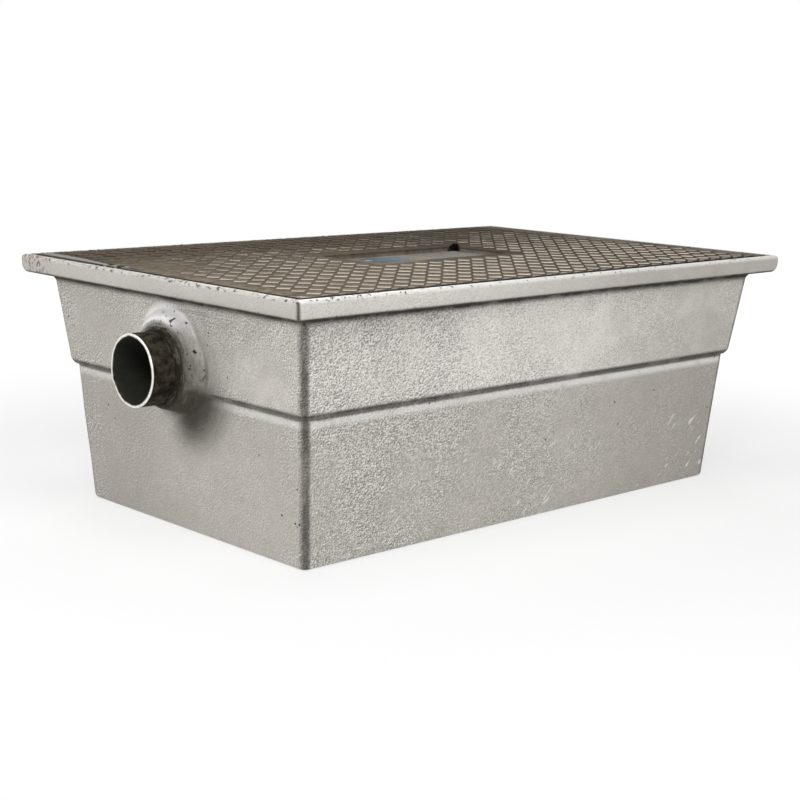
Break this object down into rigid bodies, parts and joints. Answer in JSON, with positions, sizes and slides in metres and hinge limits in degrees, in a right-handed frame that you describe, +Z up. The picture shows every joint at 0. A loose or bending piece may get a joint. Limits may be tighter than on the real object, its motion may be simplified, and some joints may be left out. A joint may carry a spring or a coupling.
{
  "type": "grease trap",
  "caption": "Stepped, drafted cast grease trap with a chequered drop-in cover, a pipe spigot at each end, hanging baffles and a slotted strainer basket.",
  "frame": {"origin": "middle of the base, on the surface that it stands on", "axes": "+X along the length from the inlet end to the outlet end, +Z up to the cover"},
  "size_m": [0.627, 0.386, 0.2212],
  "materials": {
    "tank_paint": "sand-cast iron under aluminium paint",
    "cover_iron": "worn chequered casting with traces of aluminium paint",
    "seal_rubber": "flat rubber seal",
    "pipe_steel": "dark mill-scaled steel tube with a bright cut end",
    "baffle_plate": "galvanised plate",
    "basket_sheet": "slotted stainless sheet"
  },
  "bodies": {
    "root": {"tank": "tank_paint", "cover": "cover_iron", "cover_seal": "seal_rubber", "inlet_spigot": "pipe_steel", "outlet_spigot": "pipe_steel", "inlet_baffle": "baffle_plate", "outlet_baffle": "baffle_plate", "strainer_basket": "basket_sheet", "basket_handle": "basket_sheet"}
  },
  "joints": []
}
